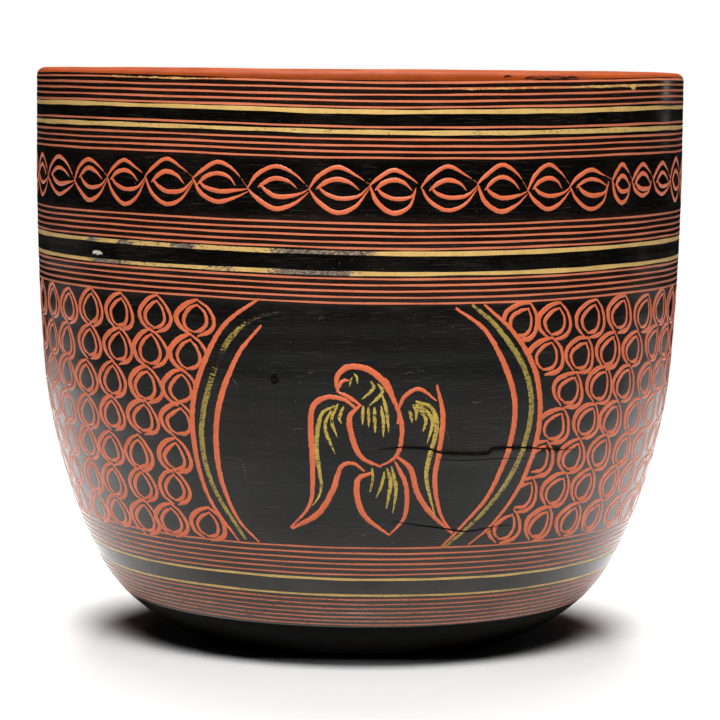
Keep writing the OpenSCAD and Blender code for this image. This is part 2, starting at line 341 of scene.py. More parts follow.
class Shader:
    """A node material with one Principled shader, and short calls for the nodes that feed it."""

    def __init__(self, name):
        self.material = bpy.data.materials.new(name)
        self.material.use_nodes = True
        self.tree = self.material.node_tree
        self.shader = self.tree.nodes["Principled BSDF"]
        self.place = self.tree.nodes.new("ShaderNodeTexCoord").outputs["Object"]

    def link(self, value, socket):
        if isinstance(value, bpy.types.NodeSocket):
            self.tree.links.new(value, socket)
        else:
            socket.default_value = value

    def set(self, **values):
        for name, value in values.items():
            self.link(value, self.shader.inputs[name.replace("_", " ")])

    def noise(self, size, detail=3.0, roughness=0.55):
        """Noise whose features are about size millimetres, as one number or as one for each axis."""
        sizes = (size,) * 3 if isinstance(size, (int, float)) else size
        mapping = self.tree.nodes.new("ShaderNodeMapping")
        mapping.inputs["Scale"].default_value = [1 / (s * MM) for s in sizes]
        self.link(self.place, mapping.inputs["Vector"])
        node = self.tree.nodes.new("ShaderNodeTexNoise")
        self.link(mapping.outputs["Vector"], node.inputs["Vector"])
        node.inputs["Scale"].default_value = 1.0
        node.inputs["Detail"].default_value = detail
        node.inputs["Roughness"].default_value = roughness
        return node.outputs["Fac"]

    def height(self):
        """Height above the floor, in metres."""
        node = self.tree.nodes.new("ShaderNodeSeparateXYZ")
        self.link(self.place, node.inputs[0])
        return node.outputs["Z"]

    def span(self, value, low, high, to_low=0.0, to_high=1.0):
        """The value between low and high, stretched to a new range and held at its ends."""
        node = self.tree.nodes.new("ShaderNodeMapRange")
        self.link(value, node.inputs["Value"])
        for name, number in zip(RANGE_SOCKETS, (low, high, to_low, to_high)):
            self.link(number, node.inputs[name])
        return node.outputs["Result"]

    def math(self, operation, a, b):
        node = self.tree.nodes.new("ShaderNodeMath")
        node.operation = operation
        self.link(a, node.inputs[0])
        self.link(b, node.inputs[1])
        return node.outputs["Value"]

    def mix(self, factor, a, b):
        """Colour a where the factor is 0, and colour b where it is 1."""
        node = self.tree.nodes.new("ShaderNodeMix")
        node.data_type = "RGBA"
        self.link(factor, node.inputs["Factor"])
        for name, value in (("A", a), ("B", b)):
            socket = next(s for s in node.inputs if s.name == name and s.type == "RGBA")
            self.link(value if isinstance(value, bpy.types.NodeSocket) else (*value, 1), socket)
        return next(s for s in node.outputs if s.type == "RGBA")

    def attribute(self, name):
        node = self.tree.nodes.new("ShaderNodeAttribute")
        node.attribute_name = name
        return node.outputs["Fac"]

    def bump(self, height, distance):
        """Bump of a height from 0 to 1, over a distance in millimetres."""
        node = self.tree.nodes.new("ShaderNodeBump")
        node.inputs["Distance"].default_value = distance * MM
        self.link(height, node.inputs["Height"])
        self.link(node.outputs["Normal"], self.shader.inputs["Normal"])


# Colours, as linear red, green and blue.
BLACK = (0.0024, 0.0019, 0.0015)
BLACK_WARM = (0.010, 0.0050, 0.003)
STAIN = (0.036, 0.012, 0.007)
# Grey painted into the black low on the belly: a painted reflection of the floor.
PAINTED_FLOOR_SHEEN = (0.045, 0.042, 0.035)
SCRATCHED = (0.07, 0.072, 0.06)
DUST = (0.25, 0.22, 0.17)
LINE_RED = (0.71, 0.215, 0.108)
LINE_RED_DEEP = (0.52, 0.10, 0.045)
VERMILION = (0.78, 0.175, 0.07)
VERMILION_DEEP = (0.52, 0.095, 0.036)
YELLOW = (0.78, 0.50, 0.17)
YELLOW_DULL = (0.42, 0.27, 0.06)
OLIVE = (0.62, 0.44, 0.085)
OLIVE_DULL = (0.27, 0.185, 0.03)
TRIM_OLIVE = (0.43, 0.31, 0.068)
TRIM_OLIVE_DULL = (0.19, 0.135, 0.026)
WORN_GREY = (0.075, 0.05, 0.042)
WORN_LIGHT = (0.36, 0.28, 0.22)
ORANGE = (0.26, 0.041, 0.002)
ORANGE_DEEP = (0.17, 0.026, 0.004)
# Heights between which a grey painted reflection of the floor comes in towards the foot.
FLOOR_SHEEN_TOP = 34
FLOOR_SHEEN_FOOT = 18


def black_lacquer():
    """Polished black lacquer: lathe streaks, brown patches, pigment stain between the turned lines,
    where the wear attribute is 1, and a blotchy grey painted reflection of the floor that thickens
    towards the foot."""
    s = Shader("black_lacquer")
    streaks = s.noise((40, 40, 0.45), detail=4)
    patches = s.noise(14, detail=4)
    grain = s.noise(0.35, detail=2)
    dust = s.noise((0.5, 0.5, 0.35), detail=2)
    colour = s.mix(s.span(patches, 0.5, 0.8), BLACK, BLACK_WARM)
    stained = s.math("MULTIPLY", s.attribute("wear"), s.span(streaks, 0.2, 0.6, 0.6, 1))
    colour = s.mix(stained, colour, STAIN)
    # Painted reflection: blotches of grey low on the belly stand in for the floor reflected there.
    low = s.span(s.height(), FLOOR_SHEEN_TOP * MM, FLOOR_SHEEN_FOOT * MM)
    colour = s.mix(s.math("MULTIPLY", low, s.span(patches, 0.3, 0.6, 0.45, 0.9)), colour, PAINTED_FLOOR_SHEEN)
    scratches = s.span(s.noise((5, 5, 0.13), detail=3, roughness=0.6), 0.57, 0.74, 0, 0.55)
    colour = s.mix(s.math("MULTIPLY", scratches, s.span(patches, 0.3, 0.6, 0.4, 1)), colour, SCRATCHED)
    s.set(Base_Color=s.mix(s.span(dust, 0.73, 0.77, 0, 0.6), colour, DUST))
    worn = s.math("ADD", s.span(streaks, 0.35, 0.75, 0.0, 0.1), s.span(patches, 0.35, 0.75, 0.0, 0.12))
    s.set(Roughness=s.math("ADD", worn, 0.09), Specular_IOR_Level=0.45)
    height = s.math("ADD", s.math("MULTIPLY", streaks, 0.4), s.math("MULTIPLY", grain, 0.3))
    s.bump(s.math("ADD", height, s.math("MULTIPLY", patches, 3.0)), 0.02)
    return s.material


def shaded_base_lacquer():
    """The last of the black, round the base: rubbed matt, blotched with brown, and painted darker than the
    black above as painted shade under the bowl.
    """
    s = Shader("shaded_base_lacquer")
    patches = s.noise((6, 6, 1.5), detail=4)
    # Painted shade: these blacks are about half the rest of the black coat, for the shade under the bowl.
    s.set(Base_Color=s.mix(s.span(patches, 0.45, 0.75), (0.001, 0.001, 0.0009), (0.005, 0.003, 0.002)))
    s.set(Roughness=s.span(patches, 0.3, 0.7, 0.35, 0.55), Specular_IOR_Level=0.02)
    s.bump(patches, 0.05)
    return s.material


def orange_lacquer():
    """Orange-red lacquer of the inside and lip, with brush marks and darker rubbed places."""
    s = Shader("orange_lacquer")
    clouds = s.noise((9, 9, 5), detail=5, roughness=0.6)
    brush = s.noise((25, 25, 0.5), detail=3)
    specks = s.noise(0.6, detail=2)
    colour = s.mix(s.span(clouds, 0.35, 0.75), ORANGE, ORANGE_DEEP)
    colour = s.mix(s.span(specks, 0.68, 0.74, 0, 0.7), colour, BLACK_WARM)
    s.set(Base_Color=colour, Roughness=s.span(clouds, 0.3, 0.7, 0.5, 0.7), Specular_IOR_Level=0.07)
    s.bump(s.math("ADD", s.math("MULTIPLY", brush, 0.6), s.math("MULTIPLY", clouds, 0.4)), 0.03)
    return s.material


def pigment(name, colour, deep, spotting, bare=BLACK_WARM, bare_light=BLACK_WARM):
    """Pigment pressed into cut lines: grainy, with bare colours where it has rubbed out. The wear
    attribute of the mesh, from 0 to 1, says how much of it has gone."""
    s = Shader(name)
    grain = s.noise(0.22, detail=2)
    patches = s.noise(3.5, detail=3)
    flecks = s.noise((0.9, 0.9, 0.3), detail=4, roughness=0.7)
    body = s.mix(s.span(grain, 0.4, 0.75, 0, 0.55), colour, deep)
    body = s.mix(s.span(patches, 0.45, 0.8, 0, 0.5), body, deep)
    gone = s.math("ADD", flecks, s.math("MULTIPLY", s.attribute("wear"), 0.45))
    lost = s.span(gone, 1 - spotting, 1.04 - spotting)
    rubbed = s.mix(s.span(s.noise((0.8, 0.8, 0.25), detail=4), 0.42, 0.66), bare, bare_light)
    s.set(Base_Color=s.mix(lost, body, rubbed), Roughness=s.span(grain, 0.3, 0.7, 0.28, 0.45))
    s.set(Specular_IOR_Level=0.36)
    s.bump(grain, 0.03)
    return s.material


def crack_black():
    """The matt dark inside of a crack, with traces of putty."""
    s = Shader("crack_black")
    s.set(Base_Color=s.mix(s.span(s.noise(0.7), 0.55, 0.8), (0.001, 0.001, 0.001), (0.02, 0.014, 0.01)))
    s.set(Roughness=0.95, Specular_IOR_Level=0.1)
    return s.material


def bare_putty(name, light, dark):
    """Putty ground where it shows: matt, gritty and uneven."""
    s = Shader(name)
    grit = s.noise(0.4, detail=4)
    s.set(Base_Color=s.mix(s.span(grit, 0.35, 0.7), light, dark), Roughness=0.85)
    s.bump(grit, 0.08)
    return s.material


def split_bamboo():
    """Split bamboo strip: pale straw with long fibres along the strip."""
    s = Shader("split_bamboo")
    fibres = s.noise((30, 30, 0.35), detail=4)
    clouds = s.noise(12)
    colour = s.mix(s.span(fibres, 0.35, 0.7), (0.56, 0.36, 0.14), (0.33, 0.19, 0.07))
    s.set(Base_Color=s.mix(s.span(clouds, 0.4, 0.8, 0, 0.5), colour, (0.42, 0.28, 0.1)), Roughness=0.62)
    s.bump(fibres, 0.08)
    return s.material


BLACK_LACQUER = black_lacquer()
SHADED_BASE_LACQUER = shaded_base_lacquer()
ORANGE_LACQUER = orange_lacquer()
RED_PIGMENT = pigment("vermilion_pigment", VERMILION, VERMILION_DEEP, 0.27)
LINE_PIGMENT = pigment("turned_line_pigment", LINE_RED, LINE_RED_DEEP, 0.24)
YELLOW_PIGMENT = pigment("yellow_pigment", YELLOW, YELLOW_DULL, 0.30, WORN_GREY, WORN_LIGHT)
SMEARED_YELLOW = pigment("smeared_yellow", YELLOW, YELLOW_DULL, 0.34, LINE_RED_DEEP, LINE_RED)
OLIVE_PIGMENT = pigment("olive_pigment", OLIVE, OLIVE_DULL, 0.36)
TRIM_PIGMENT = pigment("dark_olive_pigment", TRIM_OLIVE, TRIM_OLIVE_DULL, 0.36)
CRACK_BLACK = crack_black()
PUTTY = bare_putty("ash_putty", (0.07, 0.05, 0.035), (0.03, 0.022, 0.016))
SCRATCH_GREY = bare_putty("scratched_lacquer", (0.16, 0.12, 0.10), (0.03, 0.028, 0.025))
PALE_PUTTY = bare_putty("chipped_putty", (0.75, 0.68, 0.6), (0.45, 0.38, 0.32))
BAMBOO = split_bamboo()

# --- Turned lines: black coat with its grooves, and the pigment in them ---

RED_WIDTH = 0.46
YELLOW_WIDTH = 0.92
LOW_YELLOW_WIDTH = 0.6
LINE_PITCH = 1.2
LOW_PITCH = 1.25
FIRST_LINE = 2.24
GROOVE = 0.12
# Spacing of the rows of the black coat, plain and by a crack, and how far they keep from the lines.
ROW_STEP = 1.7
CRACK_ROW_STEP = 0.5
LINE_MARGIN = 0.8


def line_group(first, count, pitch):
    return [first + pitch * i for i in range(count)]


# Node of each group of lines, and the depths of its lines below the lip.
RED_GROUPS = {
    "rim_red_lines": line_group(FIRST_LINE, 5, LINE_PITCH),
    "neck_red_lines": [10.6] + line_group(13.1, 4, LINE_PITCH),
    "shoulder_red_lines": line_group(29.6, 5, LINE_PITCH),
    "collar_red_lines": line_group(40.4, 5, LINE_PITCH),
    "waist_red_lines": line_group(96.2, 6, LOW_PITCH),
    "foot_red_lines": line_group(108.7, 7, LOW_PITCH),
}
YELLOW_GROUPS = {
    "upper_yellow_lines": [7.75, 11.7],
    "middle_yellow_lines": [35.4, 39.4],
    "lower_yellow_lines": [103.6, 107.6],
}
# Depths between which the black is stained by the pigment rubbed into the lines, and how much.
STAINED = ((0.8, 7.2, 0.3), (12.4, 17, 0.3), (28.8, 34.6, 0.3), (39.6, 45.4, 0.4), (96, 102.6, 0.7),
           (108.4, 116.4, 1))
STAIN_EDGE = 0.3
# How far the pigment has rubbed out of each line of a group.
RED_WEAR = {"waist_red_lines": 0.28, "foot_red_lines": 0.38}
YELLOW_WEAR = [0.15, 0.25]


class TurnedLine:
    """One turned line, with the slow drift of its depth and width round the bowl."""

    def __init__(self, depth, width, seed):
        draw = random.Random(seed)
        self.depth, self.width = depth, width
        self.waves = [(n, draw.uniform(0.01, 0.03), draw.uniform(0, 6.28)) for n in (1, 2, 5, 9, 23)]
        self.swells = [(n, draw.uniform(0.03, 0.09), draw.uniform(0, 6.28)) for n in (3, 7, 13, 31)]

    def edge(self, side, inset=0.0):
        """Depth of the line's edge for each of THETA: side -1 is its upper edge and 1 its lower."""
        drift = 0.03 * np.sin(9 * THETA + self.depth / 5)
        drift = drift + sum(a * np.sin(n * THETA + p) for n, a, p in self.waves)
        drift = drift - line_sway(THETA, self.depth)
        swell = 1 + sum(a * np.sin(n * THETA + p) for n, a, p in self.swells)
        return self.depth + drift + side * (self.width / 2 * swell - inset)


def lip_edge():
    """Depth of the edge of the orange lacquer on the outside, laid by hand just above the first line
    and higher over a short stretch at the left of the front."""
    waves = 0.04 * np.sin(11 * THETA + 4)
    high = 0.4 * np.exp(-((half_turn(THETA + 1.05) / 0.5) ** 2))
    return 1.94 - line_sway(THETA, FIRST_LINE) + waves - high


LIP_EDGE = lip_edge()


def all_lines():
    lines = {}
    for groups, width in ((RED_GROUPS, RED_WIDTH), (YELLOW_GROUPS, YELLOW_WIDTH)):
        for node, depths in groups.items():
            cut = LOW_YELLOW_WIDTH if node == "lower_yellow_lines" else width
            lines[node] = [TurnedLine(depth, cut, f"{node}{i}") for i, depth in enumerate(depths)]
    return lines


LINES = all_lines()


def stain(depth):
    """Share of pigment stain in the black at a depth, as one number for a whole row."""
    return max(share * float(np.clip(min(depth - low, high - depth) / STAIN_EDGE + 1, 0, 1))
               for low, high, share in STAINED)


def plain_depths(start, stop):
    """Depths of the rows between two turned lines, closer together where a crack runs."""
    depths = [start]
    while depths[-1] < stop - 0.7:
        near = any(line[:, 1].min() - 2 < depths[-1] < line[:, 1].max() + 2.5 for line in CRACK_LINES)
        depths.append(depths[-1] + (CRACK_ROW_STEP if near else ROW_STEP))
    return depths[:-1] + [stop]


def black_coat():
    """Outer lacquer as one closed coat, with a groove for every turned line."""
    rows = [(LIP_EDGE - 0.35, -0.25), (LIP_EDGE - 0.25, 0.0)]
    lines = sorted((line for group in LINES.values() for line in group), key=lambda line: line.depth)
    previous = LIP_BAND
    for line, depth in zip(lines + [None], [line.depth for line in lines] + [AXIS_DEPTH - 1]):
        if depth - previous > 2:
            plain = plain_depths(previous + LINE_MARGIN, depth - LINE_MARGIN)
            rows += [(place, 0.0) for place in plain]
        if line is not None:
            rows += [(line.edge(-1, -0.03), 0.0), (line.edge(-1, 0.02), -GROOVE)]
            rows += [(line.edge(1, 0.02), -GROOVE), (line.edge(1, -0.03), 0.0)]
        previous = depth
    base_row = next(i for i, row in enumerate(rows) if np.isscalar(row[0]) and row[0] > lines[-1].depth)
    loop, amounts = [], []
    deepest = 0 * THETA
    for depth, lift in rows:
        deepest = np.maximum(depth + 0 * THETA, deepest + 0.008)
        loop.append(wall_row(deepest, lift))
        amounts += [stain(float(deepest.mean()))] * SEGMENTS
    loop.append(wall_row(AXIS_DEPTH, 0.0))
    inner = [AXIS_DEPTH, FOOT_DEPTH + 12] + np.linspace(FOOT_DEPTH, UPRIGHT_DEPTH, 17).tolist()
    loop += [wall_row(depth, -LACQUER) for depth in inner + [LIP_BAND]]
    verts, faces = revolve(loop)
    amounts += [0.0] * (len(verts) - len(amounts))
    coat = make_piece(
        "black_coat", verts, faces, BLACK_LACQUER, ["outer_lacquer"], wear=amounts)
    coat.data.materials.append(SHADED_BASE_LACQUER)
    for face in coat.data.polygons:
        if base_row * SEGMENTS <= min(face.vertices) < len(rows) * SEGMENTS:
            face.material_index = 1


# Wear of the two middle yellow lines round the front, as degrees and amounts.
MIDDLE_WEAR = (
    [(-54, 0.1), (-52, 0.7), (-51, 0.7), (-49, 0.2), (-45, 0.2), (-44, 0.75), (-42, 0.75), (-40, 0.3),
     (-33, 0.3), (-31.5, 0.8), (-29, 0.8), (-27, 0.3), (-16, 0.25), (-12, 0.78), (1, 0.78), (4, 0.15)],
    [(-54, 0.1), (-51, 0.65), (-45, 0.7), (-41, 0.35), (-27, 0.3), (-24, 0.5), (-21, 0.45), (-19, 0.25),
     (-16, 0.25), (-12, 0.78), (-2, 0.78), (1, 0.15)],
)


def middle_wear(marks):
    """How far a middle yellow line has rubbed away, for each of THETA."""
    return np.interp(np.degrees(half_turn(THETA)), *np.array(marks).T)


def pigment_lines(node, material, wears):
    """Pigment in one group of grooves, a hair below the lacquer, with the wear of each line."""
    verts, faces, worn = [], [], []
    for line, wear in zip(LINES[node], wears):
        bottom, top = -GROOVE - 0.02, -0.03
        upper, lower = line.edge(-1, 0.03), line.edge(1, 0.03)
        rows = [wall_row(upper, bottom), wall_row(upper, top)]
        rows += [wall_row(lower, top), wall_row(lower, bottom)]
        line_verts, line_faces = revolve(rows)
        start = len(verts)
        verts += line_verts
        faces += [tuple(start + i for i in face) for face in line_faces]
        worn += np.tile(wear + 0 * THETA, len(rows)).tolist()
    make_piece(node + "_inlay", verts, faces, material, [node], wear=worn)


black_coat()
for node in RED_GROUPS:
    pigment_lines(node, LINE_PIGMENT, [RED_WEAR.get(node, 0.0)] * len(LINES[node]))
for node in YELLOW_GROUPS:
    rubbed = [middle_wear(marks) for marks in MIDDLE_WEAR] if node.startswith("middle") else YELLOW_WEAR
    pigment_lines(node, YELLOW_PIGMENT, rubbed)

# --- Orange inside and lip ---


def lip_row(degrees, radius):
    """Row on the rounded lip, from 0 at its outside to 180 at its inside."""
    angle = np.radians(degrees)
    out = relief(THETA, 0 * THETA)
    centre_r, centre_z = BOWL_RADIUS - WALL / 2, BOWL_HEIGHT - WALL / 2
    return centre_r + out + radius * np.cos(angle), centre_z + (radius + lip_rise(THETA)) * np.sin(angle)


def orange_coat():
    """Inner lacquer: up the inside, over the lip and down to a hand-laid edge on the outside."""
    thick = 0.4
    inside = np.linspace(0, UPRIGHT_DEPTH, 7)[1:-1].tolist()
    inside += np.linspace(UPRIGHT_DEPTH, FOOT_DEPTH, 45).tolist()
    inside += [FOOT_DEPTH + 9, FOOT_DEPTH + 18]
    first = np.degrees(np.arcsin(np.clip(1 - (LIP_EDGE - 0.1) / (WALL / 2), 0.05, 1)))
    turns = [first + (180 - first) * i / 15 for i in range(1, 16)]
    rows = [wall_row(LIP_EDGE, -0.1), wall_row(LIP_EDGE - 0.08, 0.02)]
    rows += [lip_row(degrees, WALL / 2 + 0.02) for degrees in turns]
    rows += [wall_row(depth, -WALL) for depth in inside + [AXIS_DEPTH]]
    rows += [wall_row(depth, -WALL + thick) for depth in [AXIS_DEPTH] + inside[::-1]]
    rows += [lip_row(degrees, WALL / 2 - thick) for degrees in turns[::-1]]
    verts, faces = revolve(rows)
    make_piece("orange_coat", verts, faces, ORANGE_LACQUER, ["inner_lacquer"])


orange_coat()

# --- Chain band ---

CHAIN_DEPTH = 22.8
# Links across the front, from the left: width in degrees, height of the top arc, depth of the
# bottom arc, and height of the crossing at the right. The other links are much alike.
FRONT_LINKS = [
    (12.2, 3.9, 3.9, -0.9), (10, 3.7, 4.6, 0.2), (9.1, 3.9, 4.9, 0.8), (9.7, 4.6, 4.4, 0.9),
    (9.8, 4.4, 3.4, -0.6), (10.2, 4.0, 4.3, -0.3), (9.7, 4.2, 4.7, 0.65), (8.3, 3.8, 4.6, 0.4),
    (9.4, 4.6, 4.0, 1.0), (9.1, 4.8, 4.4, -0.5), (8.5, 4.6, 4.2, 0.05), (10.1, 3.3, 4.6, 0.8),
    (5.7, 4.1, 3.7, 0.4), (7.5, 3.9, 2.5, 0.5), (8.6, 3.9, 2.6, 0.1),
]
FRONT_START = -69.0
HIDDEN_LINKS = 23


def chain_links(draw):
    rest = [draw.uniform(0.9, 1.1) for _ in range(HIDDEN_LINKS)]
    scale = (360 - sum(link[0] for link in FRONT_LINKS)) / sum(rest)
    hidden = [(share * scale, draw.uniform(3.7, 4.7), draw.uniform(3.8, 4.8), draw.uniform(-0.6, 0.7))
              for share in rest]
    hidden[-1] = (*hidden[-1][:3], -0.4)
    return FRONT_LINKS + hidden


def chain_band():
    """Round of linked eyes: an upper and a lower arc for each, and a small eye inside."""
    strokes = Strokes("chain")
    draw = strokes.random
    start = FRONT_START
    middle = -0.4
    for degrees, top, bottom, next_middle in chain_links(draw):
        width = math.radians(degrees) * BOWL_RADIUS
        inner_top = 0.42 * top + draw.uniform(-0.2, 0.4)
        inner_bottom = 0.42 * bottom + draw.uniform(-0.2, 0.2)
        left, right = draw.uniform(0.13, 0.22), draw.uniform(0.78, 0.88)
        reach = draw.choice((1.0, 1.02, 0.9))
        arcs = {
            "upper": [(-0.01, middle), (0.16, 0.57 * top), (0.46, top), (0.76, 0.66 * top),
                      (1.0, 0.3 + next_middle)],
            "lower": [(0.0, middle + 0.1), (0.15, -0.55 * bottom), (0.45, -bottom), (0.76, -0.74 * bottom),
                      (reach, next_middle - 0.5)],
            "inner_lower": [(left - 0.02, 0.5), (left + 0.1, -0.5 * inner_bottom), (0.5, -inner_bottom),
                            (0.8, -0.75 * inner_bottom), (reach, next_middle)],
            "inner_upper": [(left - 0.05, -0.2), (left + 0.12, 0.7 * inner_top), (0.48, inner_top),
                            (0.68, 0.66 * inner_top), (right, -0.2)],
        }
        for name, points in arcs.items():
            path = smooth_path([(share * width, height) for share, height in points], 0.3)
            theta = math.radians(start) + path[:, 0] / BOWL_RADIUS
            places = np.stack([theta, CHAIN_DEPTH - path[:, 1] - line_sway(theta, CHAIN_DEPTH)], -1)
            full = draw.uniform(0.85, 1.05)
            if name == "upper":
                stop = int(len(places) * draw.uniform(0.84, 0.95))
                strokes.add(places[:stop], full, head=0.16, tail=0.12)
                strokes.dashes(places[stop:], 0.28)
            else:
                strokes.add(places, full, head=0.16, tail=0.08)
        start += degrees
        middle = next_middle
    strokes.piece("chain_band_inlay", RED_PIGMENT, "vermilion", ["chain_band"])


chain_band()

# --- Bird panels ---

PANELS = 3
ARC_WIDTH = 1.36
TRIM_WIDTH = 1.35
# The widths in BIRD and FEATHERS are of the cut, and the pigment spreads by this much more.
BIRD_SPREAD = 1.12
FEATHER_SPREAD = 1.2
# Nested arcs at the two sides of a panel, as X and height in the plane of its front.
RED_ARCS = {
    "outer_left": [(-19.5, 78.4), (-26, 73.4), (-30, 66.5), (-32.8, 57), (-32.4, 47), (-29.5, 37),
                   (-23.5, 28.4)],
    "inner_left": [(-19, 73.2), (-24, 66.4), (-27.7, 55.5), (-27.6, 44), (-24.2, 34), (-19.4, 28.5)],
    "inner_right": [(19.3, 77), (26, 71.5), (31.2, 60), (31, 50), (27, 39.3), (22, 33), (17.3, 28)],
    "outer_right": [(25, 77.6), (31.5, 71.3), (36, 62.7), (36.7, 52), (33.5, 41), (28, 32.8),
                    (22.8, 28.2)],
}
YELLOW_ARCS = {
    "left": [(-13.5, 76), (-20, 74.6), (-26, 69.2), (-30, 58.5), (-31, 49), (-28.5, 39.3), (-22.1, 28.8)],
    "right": [(22.6, 77.6), (28, 72.6), (33.5, 64.2), (35, 55), (32, 44.2), (26, 35.4), (18, 27.9)],
}
# Depths down a yellow arc and how far its pigment has rubbed out there.
TRIM_WEAR = {
    "left": ((47, 49.5, 51, 54.5, 57, 60, 64), (0.62, 0.55, 0.24, 0.24, 0.85, 0.36, 0.21)),
    "right": ((46, 50, 60), (0.26, 0.19, 0.21)),
}
# How wide a yellow arc starts, as a share of its full width, and how far along it is at full width.
TRIM_HEAD = {"left": (0.14, 0.26), "right": (0.5, 0.25)}
BIRD = [
    # Each stroke: its width, then its points.
    (1.2, [(-3.7, 60.2), (-4, 63), (-2, 65.2), (2, 64.9), (5.5, 62), (8.2, 56.5), (8.1, 53.9)]),
    (0.7, [(-3.6, 61), (-3, 62.4), (-1.5, 62.7)]),
    (0.8, [(-3.7, 60.2), (-1.5, 59.2), (1, 57.5)]),
    (0.55, [(5.4, 63.2), (6.4, 61.7), (7.4, 59.2)]),
    (1.15, [(0.6, 57.6), (-1.4, 55), (-0.5, 50), (1.4, 46.8), (5, 45.1)]),
    (0.95, [(8.2, 57.5), (9, 53), (8.6, 49), (7.3, 46.7), (4.7, 45.3)]),
    (1.1, [(-0.2, 57.1), (-2.7, 58.8), (-6.5, 59), (-9, 55.7), (-8.6, 44), (-9.2, 37), (-13, 32)]),
    (1.15, [(-12.7, 31.8), (-7.5, 35.2), (-4.6, 40.1), (-3, 45), (-0.6, 45.8), (1.7, 44.2)]),
    (1.15, [(3.2, 43.9), (0.5, 42.6), (0.3, 38.8), (2, 34.6), (6.8, 30.8)]),
    (0.95, [(7.7, 46.3), (10, 41), (9.8, 34.7), (6.8, 30.8)]),
    (1.1, [(7.9, 47.4), (10.8, 44.7), (12.3, 39.6), (15, 35.3), (19.4, 30.8)]),
    (0.8, [(8.3, 57), (9.6, 59.6), (12.4, 60.9), (15.8, 58.5)]),
    (1.05, [(15.8, 61.7), (17.1, 55.5), (16.6, 49), (15.7, 42), (17, 35), (19.5, 31.1)]),
]
FEATHERS = [
    (0.4, [(-1.4, 61.4), (-1.3, 62.4), (-0.9, 63.3)]),
    (0.45, [(-0.6, 64), (0, 63.2), (0.1, 62)]),
    (0.6, [(2.7, 62.5), (3.3, 61), (1, 58.9)]),
    (0.6, [(4.1, 62), (5, 60.2), (2.5, 57.6)]),
    (0.55, [(1.3, 57.6), (1.2, 55.5), (1.2, 53.7)]),
    (0.55, [(2.3, 57.3), (2.4, 55), (2.4, 53.2)]),
    (0.65, [(3.5, 57.3), (3.6, 54.8), (3.7, 52.1)]),
    (0.6, [(4.8, 57.6), (5.3, 54.4), (5.3, 51.2)]),
    (0.6, [(5, 59.8), (5.9, 56.5), (6.4, 52.2)]),
    (0.8, [(-4.3, 57.5), (-7, 55.5), (-7.9, 49), (-6.9, 41.5), (-7.4, 38.7), (-8.6, 36.9)]),
    (0.6, [(-5, 56.6), (-6.2, 53), (-4.2, 47.7)]),
    (0.6, [(-3.7, 57.9), (-4.9, 54.6), (-3.8, 51.2)]),
    (0.6, [(-2.6, 57.4), (-3.4, 55.1), (-3, 53.9)]),
    (0.9, [(11.6, 58.5), (14.8, 57), (15.9, 53), (14.4, 46.5), (14.1, 42), (15.8, 35)]),
    (0.7, [(12, 58.3), (15, 54.6), (14, 49.9)]),
    (0.75, [(11.6, 58), (13.7, 54.9), (13.2, 52.3)]),
    (0.65, [(11.1, 57.8), (11.8, 56.3), (11.7, 54.6)]),
    (0.6, [(10.3, 56.7), (10.7, 55.7), (11, 54.1)]),
    (0.5, [(3.2, 44.9), (3.3, 42.4), (2.8, 39.9)]),
    (0.55, [(5.6, 44.2), (5.2, 41.6), (4, 38.6)]),
    (0.7, [(6.1, 45), (6.9, 41.5), (6.1, 36.4)]),
    (0.65, [(7, 45.3), (8, 40.5), (7.4, 35.5)]),
]


def panel_places(points, panel):
    """A stroke of a panel as close places on the wall, turned to its own side of the bowl."""
    places = on_wall(smooth_path(points))
    places[:, 0] += math.radians(360 / PANELS * panel)
    return places


def bird_panel(panel):
    number = panel + 1
    arcs = Strokes(f"red arcs {number}", rough=0.08)
    for points in RED_ARCS.values():
        arcs.add(panel_places(points, panel), ARC_WIDTH, head=0.35, tail=0.3, rise=0.3)
    arcs.piece(f"panel_arcs_{number}", RED_PIGMENT, "vermilion", [f"panel_red_rings_{number}"])
    trim = Strokes(f"yellow arcs {number}", ridge=0.025, rough=0.09)
    for name, points in YELLOW_ARCS.items():
        places = panel_places(points, panel)
        head, rise = TRIM_HEAD[name]
        wear = np.interp(places[:, 1], *TRIM_WEAR[name])
        trim.add(places, TRIM_WIDTH, head=head, rise=rise, tail=0.5, wear=wear)
    trim.piece(f"panel_trim_{number}", TRIM_PIGMENT, "yellow", [f"panel_yellow_rings_{number}"])
    bird = Strokes(f"bird {number}", rough=0.08)
    for width, points in BIRD:
        bird.add(panel_places(points, panel), BIRD_SPREAD * width, head=0.4, tail=0.3)
    bird.piece(f"bird_{number}", RED_PIGMENT, "vermilion", [f"bird_outline_{number}"])
    feathers = Strokes(f"feathers {number}", ridge=0.04, rough=0.08)
    for width, points in FEATHERS:
        places = panel_places(points, panel)
        feathers.add(places, FEATHER_SPREAD * width, head=0.35, tail=0.25, wear=0.2)
    feathers.piece(f"feathers_{number}", OLIVE_PIGMENT, "yellow", [f"bird_feathers_{number}"])


for panel in range(PANELS):
    bird_panel(panel)

# --- Scales between the panels ---

SCALE_ROWS = 7
FIRST_ROW = 49.2
ROW_PITCH = 7.2
SCALE_HEIGHT = 7.5
# Angle that the scales keep from the outlines of the panels, in radians.
OUTLINE_GAP = 0.004
# Each field, in degrees: the angle of one scale of its first row, the pitch round the bowl, the
# shift of a column for each row down, and the least and most that its scales tilt to the right.
FIELDS = ((35.4, 7.7, -2.3, 12, 24), (155.0, 7.9, -1.8, 4, 16), (-28.2, 8.0, -1.4, 0, 9))
